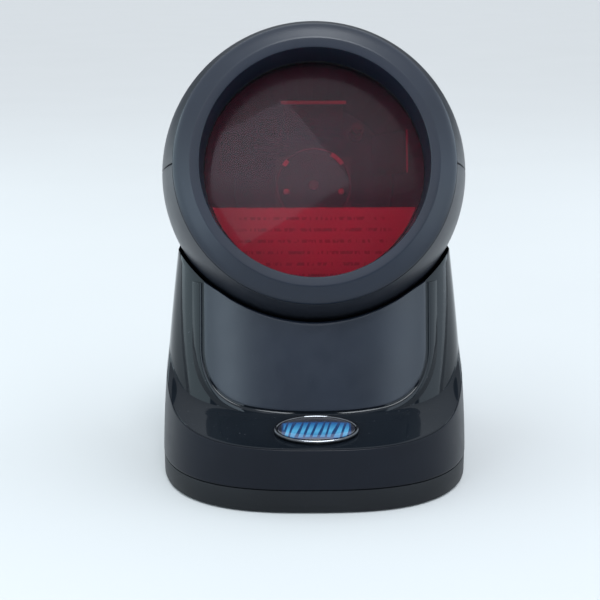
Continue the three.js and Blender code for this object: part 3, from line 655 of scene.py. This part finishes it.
def mirror_edges():
    """Ground front edges of the upper and right-hand mirrors, coloured pale as a painted highlight where
    they catch the light.
    """
    front, back, softness = -2.5, -1.9, 0.12
    upper = soft_block((-11, front, 23.6), (11, back, 24.7), softness)
    right = soft_block((31.0, front, 0.2), (31.6, back, 14.8), softness)
    for name, part in (("mirror_edge_1", upper), ("mirror_edge_2", right)):
        add_mesh(name, *part, "head", "mirror", "frosted_edge", (), HEAD_FRAME)


# ---------------------------------------------------------------- the stand's surfaces

# [y, z] points along the sharp edge between housing and trim, from in front of the stand to behind it
EDGE_POINTS = [
    (-60, 20.8), (-53.5, 21.4), (-45, 22.9), (-38, 24.8), (-32, 27.1), (-26, 30.4), (-19, 34), (-11, 37),
    (-2, 41), (7, 48.5), (13, 58), (17, 70), (60, 92),
]


def catmull_rom(p0, p1, p2, p3, t):
    """A value between p1 and p2 on a smooth curve through all four."""
    v0, v1 = (p2 - p0) / 2, (p3 - p1) / 2
    return (2 * p1 - 2 * p2 + v0 + v1) * t ** 3 + (-3 * p1 + 3 * p2 - 2 * v0 - v1) * t * t + v0 * t + p1


def edge_curve(along):
    """The sharp edge between housing and trim, seen from the side, at a share along its spline."""
    whole = min(int(along * (len(EDGE_POINTS) - 1)), len(EDGE_POINTS) - 2)
    t = along * (len(EDGE_POINTS) - 1) - whole
    around = [EDGE_POINTS[max(0, min(len(EDGE_POINTS) - 1, whole + k))] for k in (-1, 0, 1, 2)]
    return tuple(catmull_rom(*(p[axis] for p in around), t) for axis in (0, 1))


def crossing(test, low, high, halvings=26):
    """The value between low and high up to which test holds."""
    for _ in range(halvings):
        middle = (low + high) / 2
        if test(middle):
            low = middle
        else:
            high = middle
    return low


def edge_height(y):
    """Height of the sharp edge at a distance along the stand."""
    return edge_curve(crossing(lambda along: edge_curve(along)[0] < y, 0.0, 1.0))[1]


def half_width(z):
    """Half of the tower's width, drawn in towards its shoulders."""
    drawn = max(0, z - BASE_SEAM_Z) / (SHOULDER_Z - BASE_SEAM_Z)
    return HALF_WIDTH - SHOULDER_DRAW * drawn ** SHOULDER_CURVE


def column_front(z):
    """How far the column's front stands before the middle: it leans back as it rises."""
    return COLUMN_FOOT_FRONT - COLUMN_LEAN * (z - COLUMN_FOOT_Z)


def superellipse(angle, across, front, back):
    """A point of a rounded-square outline, whose front half may reach less far than its back half."""
    c, s = math.cos(angle), math.sin(angle)
    reach = front if s < 0 else back
    power = 2 / SQUARENESS
    return (across * math.copysign(abs(c) ** power, c), reach * math.copysign(abs(s) ** power, s))


def foot_y(angle):
    """How far along the stand a direction round its footprint lies."""
    return superellipse(angle, HALF_WIDTH, HALF_DEPTH, HALF_DEPTH)[1]


def tower_point(angle, z, inset=0.0):
    """The plain outer tower at height z."""
    reach = HALF_DEPTH - inset
    return Vector((*superellipse(angle, half_width(z) - inset, reach, reach), z))


def ledge_point(angle, edge, climb, inset=0.0):
    """The ledge, column and wings, at a climb above an edge height."""
    z = edge - inset + climb
    ledge = max(0, 1 - climb / LEDGE_RISE) ** LEDGE_CURVE
    column = column_front(max(z, COLUMN_FOOT_Z))
    front = column + (HALF_DEPTH - column) * ledge - inset
    return Vector((*superellipse(angle, half_width(z) - inset, front, HALF_DEPTH - inset), z))


def rim_height(y):
    """Height of the stand's rim, level at the front and rising smoothly to the back."""
    t = max(0, min(1, (y - RIM_RISE_Y) / RIM_RISE_LENGTH))
    return RIM_SIDE_Z + (RIM_BACK_Z - RIM_SIDE_Z) * t * t * (3 - 2 * t)


def is_outside(point):
    """True outside the head's opening, which is a ball made narrower along X."""
    across, along, up = point - BALL
    return (across / OPENING_SIDE) ** 2 + (along * along + up * up) / OPENING_FRONT ** 2 > 1


def is_kept(point):
    """True where the stand's walls have material: outside the opening and under the rim."""
    return is_outside(point) and point.z < rim_height(point.y)


TRIM_END = crossing(lambda angle: foot_y(angle) < TRIM_END_Y, -math.pi / 2, math.pi / 2)


def even_angles(first, last, count, samples=4001):
    """Angles from first to last whose footprint points are about evenly spaced."""
    fine = share(samples, first, last)
    points = [Vector(superellipse(a, HALF_WIDTH, HALF_DEPTH, HALF_DEPTH)) for a in fine]
    lengths = [0.0]
    for before, after in zip(points, points[1:]):
        lengths.append(lengths[-1] + (after - before).length)
    found, k = [], 0
    for wanted in share(count, 0, lengths[-1]):
        while k < len(lengths) - 1 and lengths[k] < wanted:
            k += 1
        found.append(fine[k])
    return found


def lip_climb(angle, edge, distance):
    """The climb at which the surface is a distance away from the edge."""
    start = ledge_point(angle, edge, 0)
    return crossing(lambda climb: (ledge_point(angle, edge, climb) - start).length < distance, 0.0, 12.0)


def housing_loop(angle, trimmed):
    """One cross-section of the housing's wall: up the outside, over its top and down the inside."""
    inner_top = crossing(lambda z: is_kept(tower_point(angle, z, STAND_WALL)), SEAM_Z, OVER_STAND_Z)
    edge = edge_height(foot_y(angle))
    top = edge if trimmed else crossing(lambda z: is_kept(tower_point(angle, z)), SEAM_Z, OVER_STAND_Z)
    loop = [tower_point(angle, z) for z in share(26, SEAM_Z + 0.25, top - 0.35)]
    loop += [tower_point(angle, top - 0.14, 0.03), tower_point(angle, top - 0.03, 0.13)]
    if trimmed:
        lip = lip_climb(angle, edge, TRIM_LIP)
        loop += [ledge_point(angle, edge, lip * t) for t in (0.4, 0.85)]
        loop += [ledge_point(angle, edge, lip, depth) for depth in (0.08, 0.3, 1.2)]
        inner_top = min(inner_top, loop[-1].z - 0.8)
    else:
        outer = tower_point(angle, top, 0.3)
        inner = tower_point(angle, min(inner_top, top), STAND_WALL)
        loop += [outer.lerp(inner, t) for t in (0.1, 0.5, 0.85)]
        loop += [tower_point(angle, inner.z - drop, STAND_WALL) for drop in (0.2, 1.2)]
        inner_top = inner.z - 2
    loop += [tower_point(angle, z, STAND_WALL) for z in share(8, inner_top, SEAM_Z + 0.25)]
    loop += [tower_point(angle, SEAM_Z, inset) for inset in (1.6, 0.3)]
    loop.append(tower_point(angle, SEAM_Z + 0.08, 0.08))
    return loop


def housing():
    """The matte housing: a tower up to the sharp edge in front, and up to the rim at the sides and back."""
    step = 0.004
    front = even_angles(math.pi - TRIM_END, 2 * math.pi + TRIM_END, 221)
    rest = even_angles(TRIM_END + step, math.pi - TRIM_END - step, 181)
    loops = [housing_loop(angle, True) for angle in front] + [housing_loop(angle, False) for angle in rest]
    faces = strip_faces(len(loops), len(loops[0]), True, True)
    # The housing look is matte charcoal darkened as painted shade for the front band.
    add_mesh("stand_shell_fine", sum(loops, []), faces, "stand", "matte_charcoal", "housing",
             ["stand_shell"])


def opening_climb(angle, edge, inset=0.0):
    """The climb at which the trim's surface reaches the rim."""
    return crossing(lambda climb: is_kept(ledge_point(angle, edge, climb, inset)), 0, OVER_TRIM_CLIMB)


def trim_loop(angle):
    """One cross-section of the trim: from the lip over the ledge, up to the opening and back inside."""
    edge = edge_height(foot_y(angle))
    top = opening_climb(angle, edge)
    inner_top = opening_climb(angle, edge, STAND_WALL)
    settled = min(lip_climb(angle, edge, TRIM_LIP + TRIM_GROOVE + 0.35), top * 0.5)
    first = min(lip_climb(angle, edge, TRIM_LIP + TRIM_GROOVE), settled * 0.6)
    ledge_end = min(LEDGE_RISE, 0.5 * (settled + top))
    loop = [ledge_point(angle, edge, first, depth) for depth in (1.5, 0.3, 0.08)]
    loop += [ledge_point(angle, edge, climb) for climb in share(26, settled, ledge_end)]
    loop += [ledge_point(angle, edge, climb) for climb in share(26, ledge_end, top - 0.4)[1:]]
    loop += [ledge_point(angle, edge, top - 0.12, 0.05), ledge_point(angle, edge, top - 0.02, 0.25)]
    outer = ledge_point(angle, edge, top, 0.5)
    inner = ledge_point(angle, edge, min(inner_top, top), STAND_WALL)
    loop += [outer.lerp(inner, t) for t in (0.0, 0.4, 0.9)]
    loop += [ledge_point(angle, edge, climb, STAND_WALL) for climb in share(10, inner_top, first)[1:]]
    return loop


def end_caps(points, ring):
    """Faces over the first and the last ring of points of a strip."""
    return [tuple(range(ring)), tuple(range(len(points) - ring, len(points)))]


def trim():
    """The polished trim: the ledge in front, sweeping up into the wings on both sides of the column."""
    loops = [trim_loop(angle) for angle in even_angles(math.pi - TRIM_END, 2 * math.pi + TRIM_END, 241)]
    points = sum(loops, [])
    faces = strip_faces(len(loops), len(loops[0]), False, True) + end_caps(points, len(loops[0]))
    add_mesh("front_trim_fine", points, faces, "stand", "gloss_black", "gloss_black", ["front_trim"])


# ---------------------------------------------------------------- panel

# [x, z] places in the front view: a point inside the panel, and the curve round its lower corner
PANEL_MIDDLE = Vector((0, 42))
PANEL_CORNER = (
    (PANEL_SIDE - 15, PANEL_FOOT_Z + 1.9),
    (PANEL_SIDE - 6, PANEL_FOOT_Z + 3.2),
    (PANEL_SIDE, 36),
    (PANEL_SIDE, 47),
)


def on_panel(x, z, proud):
    """The point over the column's face at [x, z] that stands proud of it."""
    across = min(0.999, abs(x) / (half_width(z) + proud))
    reach = column_front(z) + proud
    return Vector((x, -reach * (1 - across ** SQUARENESS) ** (1 / SQUARENESS), z))


def panel_foot(x):
    """Height of the panel's lower edge, with its round corners."""
    (flat, corner), across = PANEL_CORNER[0], abs(x)
    if across <= flat:
        t = 0.5 + x / (2 * flat)
        return corner * ((1 - t) ** 2 + t * t) + (PANEL_FOOT_Z - 0.9) * 2 * t * (1 - t)
    curve = bezier(*PANEL_CORNER, 80)
    for before, after in zip(curve, curve[1:]):
        if before[0] <= across <= after[0]:
            t = (across - before[0]) / max(1e-9, after[0] - before[0])
            return before[1] + t * (after[1] - before[1])
    return RIM_SIDE_Z


def in_panel(x, z):
    """True within the panel's outline in the front view."""
    if abs(x) > PANEL_SIDE or z < panel_foot(x) or z > RIM_SIDE_Z + 4:
        return False
    return is_outside(on_panel(x, z, PANEL_PROUD))


def panel_outline(count=420):
    """Directions from the panel's middle in the front view, each with its distance to the outline."""
    found = []
    for k in range(count):
        angle = 2 * math.pi * k / count
        way = Vector((math.cos(angle), math.sin(angle)))
        found.append((way, crossing(lambda far: in_panel(*(PANEL_MIDDLE + way * far)), 0.0, 60.0)))
    return found


def panel():
    """The satin panel: a shallow plate over the column, softly rounded along its outline."""
    edge = ((0, -0.8), (0, 0.1), (0.04, 0.38), (0.14, 0.56), (0.34, 0.66), (0.7, PANEL_PROUD))
    inward, rings = edge[-1][0], 26
    outline = panel_outline()
    points = []
    for back, proud in edge:
        points += [on_panel(*(PANEL_MIDDLE + way * (far - back)), proud) for way, far in outline]
    for scale in share(rings, 0.97, 0):
        points += [on_panel(*(PANEL_MIDDLE + way * (far - inward) * scale), PANEL_PROUD)
                   for way, far in outline]
    faces = strip_faces(len(edge) + rings, len(outline), False, True)
    add_mesh("front_panel_fine", points, faces, "stand", "satin_charcoal", "panel_satin",
             ["front_panel"])


def bead_path():
    """[x, z] points along the panel's sides and foot, from the upper right to the upper left."""
    top, bend = 70, 47.5
    half = [Vector((PANEL_SIDE, z)) for z in share(40, top, bend)]
    half += [Vector(p) for p in reversed(bezier(*PANEL_CORNER, 36))]
    flat = PANEL_CORNER[0][0]
    foot = [Vector((x, panel_foot(x))) for x in share(41, flat, -flat)[1:-1]]
    return half + foot + [Vector((-p.x, p.y)) for p in reversed(half)]


def panel_bead():
    """A soft polished ridge on the trim all round the panel, with a shallow gutter on its inner side."""
    section = ((0.12, -0.6), (0.2, -0.28), (0.4, -0.08), (0.6, 0.1), (0.85, 0.27), (1.2, 0.38), (1.7, 0.44),
               (2.3, 0.42), (3.0, 0.28), (3.7, 0.1), (4.3, -0.08), (4.4, -0.6))
    count = len(section)
    path = bead_path()
    points = []
    for i, here in enumerate(path):
        along = path[min(i + 1, len(path) - 1)] - path[max(i - 1, 0)]
        outward = Vector((-along.y, along.x)).normalized()
        strip = [on_panel(*(here + outward * away), proud) for away, proud in section]
        if all(is_outside(point) for point in strip):
            points += strip
    faces = strip_faces(len(points) // count, count, False, True) + end_caps(points, count)
    add_mesh("panel_bead", points, faces, "stand", "gloss_black", "gloss_black")


# ---------------------------------------------------------------- base and badge


def base_pockets():
    """The space that the feet and the screws take in the base: an upright cylinder for each."""
    deep = -5
    pockets = []
    for node, radius, top in (("foot", 6.3, 2.1), ("base_screw", 3.5, 3.9)):
        outline = [(0, deep), (radius, deep), (radius, top), (0, top)]
        for i in range(1, 5):
            middle = (corner_mm(f"{node}_{i}", 0) + corner_mm(f"{node}_{i}", 1)) / 2
            pockets.append(moved(turned(outline, 48, "Z", False), middle.x, middle.y, 0))
    return joined(pockets)


def cut_out(piece, part):
    """Takes a closed part, in millimetres, out of a piece for good."""
    points, faces = part
    mesh = bpy.data.meshes.new("pockets")
    mesh.from_pydata([Vector(p) * MM for p in points], [], faces)
    weld(mesh)
    cutter = new_object("pockets", mesh)
    cut = piece.modifiers.new("pockets", "BOOLEAN")
    cut.object, cut.operation, cut.solver = cutter, "DIFFERENCE", "EXACT"
    bpy.context.view_layer.update()
    finished = bpy.data.meshes.new_from_object(piece.evaluated_get(bpy.context.evaluated_depsgraph_get()))
    piece.modifiers.clear()
    piece.data = finished
    bpy.data.objects.remove(cutter)


def base_plate():
    """The base: a tray with a soft lower edge, pockets for the feet and counterbores for the screws."""
    bottom = corner_mm("base_plate", 0).z
    floor_z, middle = 3.4, 51
    rows = [(bottom, middle), (bottom, 0.9), (bottom + 0.08, 0.55), (bottom + 0.3, 0.28),
            (bottom + 0.8, 0.14), (4, 0.12), (BASE_SEAM_Z - 0.3, 0.1), (BASE_SEAM_Z - 0.08, 0.16),
            (BASE_SEAM_Z, 0.4), (BASE_SEAM_Z, 4), (floor_z, 4.2), (floor_z, middle)]
    angles = even_angles(0, 2 * math.pi, 257)[:-1]
    points = []
    for z, inset in rows:
        reach = HALF_DEPTH - inset
        points += [(*superellipse(a, HALF_WIDTH - inset, reach, reach), z) for a in angles]
    faces = strip_faces(len(rows), len(angles), False, True) + end_caps(points, len(angles))
    plate = add_mesh("base_plate_fine", points, faces, "stand", "matte_charcoal", "matte_charcoal",
                     ["base_plate"])
    cut_out(plate, base_pockets())
    plate.data.set_sharp_from_angle(angle=SMOOTH_ANGLE)


def oval(inset, scale, height):
    """Points round the badge's oval, drawn in from its outline and scaled, at a height over its seat."""
    across, along = (BADGE_HALF_WIDTH - inset) * scale, (BADGE_HALF_HEIGHT - inset) * scale
    angles = [2 * math.pi * k / BADGE_SIDES for k in range(BADGE_SIDES)]
    return [(across * math.cos(a), along * math.sin(a), height) for a in angles]


def badge_rim():
    """The chromed rim: a rounded band round the oval."""
    rows = [(0.1, 0), (0, 0.3), (0.02, 0.7), (0.15, 0.95), (0.4, 1.08), (0.65, 1.05), (0.9, 0.85),
            (1.0, 0.3), (1.0, 0)]
    points = sum((oval(inset, 1, height) for inset, height in rows), [])
    faces = strip_faces(len(rows), BADGE_SIDES, True, True)
    add_mesh("badge_rim_fine", points, faces, "stand", "chrome", "chrome", ["badge_rim"], BADGE_FRAME)


def badge_insert():
    """The resin dome in the rim, nearly flat on top and steep at its edge."""
    wall, shoulder, top, rings = 0.75, 0.9, 1.4, 16
    points = oval(BADGE_RIM_WIDTH, 1, 0) + oval(BADGE_RIM_WIDTH, 1, wall)
    for scale in share(rings, 0.985, 0):
        points += oval(BADGE_RIM_WIDTH, scale, shoulder + (top - shoulder) * (1 - scale ** 6))
    faces = strip_faces(rings + 2, BADGE_SIDES, False, True)
    add_mesh("badge_insert_fine", points, faces, "stand", "badge_blue", "badge_blue",
             ["badge_insert"], BADGE_FRAME)


def jack_contacts():
    """Eight gilt springs across the data jack's opening."""
    pitch, half_thickness, count = 1.02, 0.2, 8
    low, high = corner_mm("data_jack", 0), corner_mm("data_jack", 1)
    middle = (low.z + high.z) / 2
    for i in range(count):
        x = (i - (count - 1) / 2) * pitch
        spring = soft_block((x - half_thickness, high.y - 11.5, middle + 2.4),
                            (x + half_thickness, high.y - 2.2, middle + 2.75), 0.08)
        add_mesh(f"jack_contact_{i + 1}", *spring, "stand", "brass", "brass")


half_ball("upper_shell", 1)
half_ball("lower_shell", -1)
bezel_ring()
window()
label_plate()
wheel_cap()
wheel_facets()
wheel_glint_tabs()
wheel_screws()
mirror_edges()
housing()
trim()
panel()
panel_bead()
base_plate()
badge_rim()
badge_insert()
jack_contacts()

# ---------------------------------------------------------------- CAD nodes that stay

KEPT_LOOKS = {
    "inner_black": ("cradle_cup", "data_jack", "optics_frame", "laser_holder", "buzzer", "laser_module"),
    "rubber": ("window_gasket", "friction_pad", "foot"),
    "mirror": ("collection_mirror", "fold_mirror", "pattern_mirror"),
    "steel": ("ballast_plate", "base_screw", "tilt_screw", "tilt_washer", "optics_screw", "head_screw"),
    "dark_steel": ("motor_stator", "motor_shaft"),
    "board": ("motor_board", "main_board", "detector_board", "interface_board"),
    "led": ("status_led",),
    "lead": ("harness_head", "harness_stand"),
}


def dress_kept_nodes():
    """Gives each CAD node in KEPT_LOOKS its material."""
    for node_name, node in frame["nodes"].items():
        stem = node_name.rstrip("0123456789").rstrip("_")
        for look_name, stems in KEPT_LOOKS.items():
            if stem in stems:
                node.data.materials.clear()
                node.data.materials.append(looks[look_name])


dress_kept_nodes()

# ---------------------------------------------------------------- floor, light and camera


def floor():
    """A pale, slightly uneven floor that reaches past the view."""
    half = 20000
    corners = [(-half, -half, 0), (half, -half, 0), (half, half, 0), (-half, half, 0)]
    mesh = bpy.data.meshes.new("floor")
    mesh.from_pydata([Vector(c) * MM for c in corners], [], [(0, 1, 2, 3)])
    look = Shader("floor")
    look.set(Roughness=0.8, Specular_IOR_Level=0.1)
    patches = look.noise(per_mm(150), 2)
    look.feed("Base Color", look.colours(patches, (0.50, 0.50, 0.495), (0.52, 0.52, 0.515)))
    mesh.materials.append(look.material)
    new_object("floor", mesh)


def add_light(name, kind, place, target):
    """A light at a place, aimed at a target."""
    light = new_object(name, bpy.data.lights.new(name, kind))
    light.location = Vector(place) * MM
    light.rotation_euler = (Vector(target) - Vector(place)).to_track_quat("-Z", "Y").to_euler()
    return light


def softbox(name, place, target, width, height, brightness, colour, roll=0.0):
    """A soft panel; brightness is its radiance, so it looks equally bright at any size."""
    light = add_light(name, "AREA", place, target)
    lamp = light.data
    lamp.shape = "RECTANGLE"
    lamp.size, lamp.size_y = width * MM, height * MM
    lamp.energy = brightness * math.pi * lamp.size * lamp.size_y
    lamp.color = colour
    light.rotation_euler.rotate_axis("Z", math.radians(roll))


def overhead(place, strength, spread_degrees, colour):
    """A wide and distant lamp, which gives the soft shadow on the floor."""
    lamp = add_light("overhead", "SUN", place, (0, 0, 0)).data
    lamp.energy = strength
    lamp.angle = math.radians(spread_degrees)
    lamp.color = colour


def world(colour, low, high):
    """A sky that is dim near the horizon, where the room is dark, and brighter from a little above it."""
    dim_below, bright_above = math.radians(25.8), math.radians(27.6)
    sky = bpy.data.worlds.new("studio")
    sky.use_nodes = True
    nodes, links = sky.node_tree.nodes, sky.node_tree.links
    ground = nodes["Background"]
    ground.inputs["Color"].default_value = (*colour, 1)
    direction = nodes.new("ShaderNodeTexCoord").outputs["Generated"]
    split = nodes.new("ShaderNodeSeparateXYZ")
    links.new(direction, split.inputs[0])
    remap = nodes.new("ShaderNodeMapRange")
    ends = {"From Min": math.sin(dim_below), "From Max": math.sin(bright_above),
            "To Min": low, "To Max": high}
    for socket, number in ends.items():
        remap.inputs[socket].default_value = number
    links.new(split.outputs["Z"], remap.inputs["Value"])
    links.new(remap.outputs["Result"], ground.inputs["Strength"])
    bpy.context.scene.world = sky


def camera():
    """In front of the scanner and a little to its left, looking down on it."""
    distance, height, turn, down = 450, 170.4, math.radians(-1), math.radians(14.22)
    lens = bpy.data.cameras.new("camera")
    lens.sensor_width = 36
    lens.lens = 80.9
    lens.shift_x = -0.0232
    lens.clip_end = 100
    view = new_object("camera", lens)
    view.location = Vector((distance * math.sin(turn), -distance * math.cos(turn), height)) * MM
    view.rotation_euler = (math.pi / 2 - down, 0, turn)
    bpy.context.scene.camera = view


floor()
world((0.86, 0.93, 1.0), 0.12, 1.4)
overhead((50, -520, 1000), 1.5, 20, (0.90, 0.95, 1.0))
softbox("right_front", (600, -800, 330), (0, 0, 70), 400, 460, 3.6, (0.74, 0.88, 1.0))
softbox("left_front", (-560, -800, 330), (0, 0, 70), 360, 460, 5.2, (0.72, 0.88, 1.0))
softbox("right_side", (760, 0, 260), (0, 0, 120), 1200, 480, 2.7, (0.76, 0.90, 1.0))
softbox("left_side", (-760, 0, 260), (0, 0, 120), 1200, 480, 2.9, (0.74, 0.93, 1.0))
softbox("haze", (-84, -900, 604), (-84, 0, 604), 260, 255, 2.2, (0.84, 0.86, 1.0), 33)
camera()
bpy.context.scene.view_settings.view_transform = "Standard"
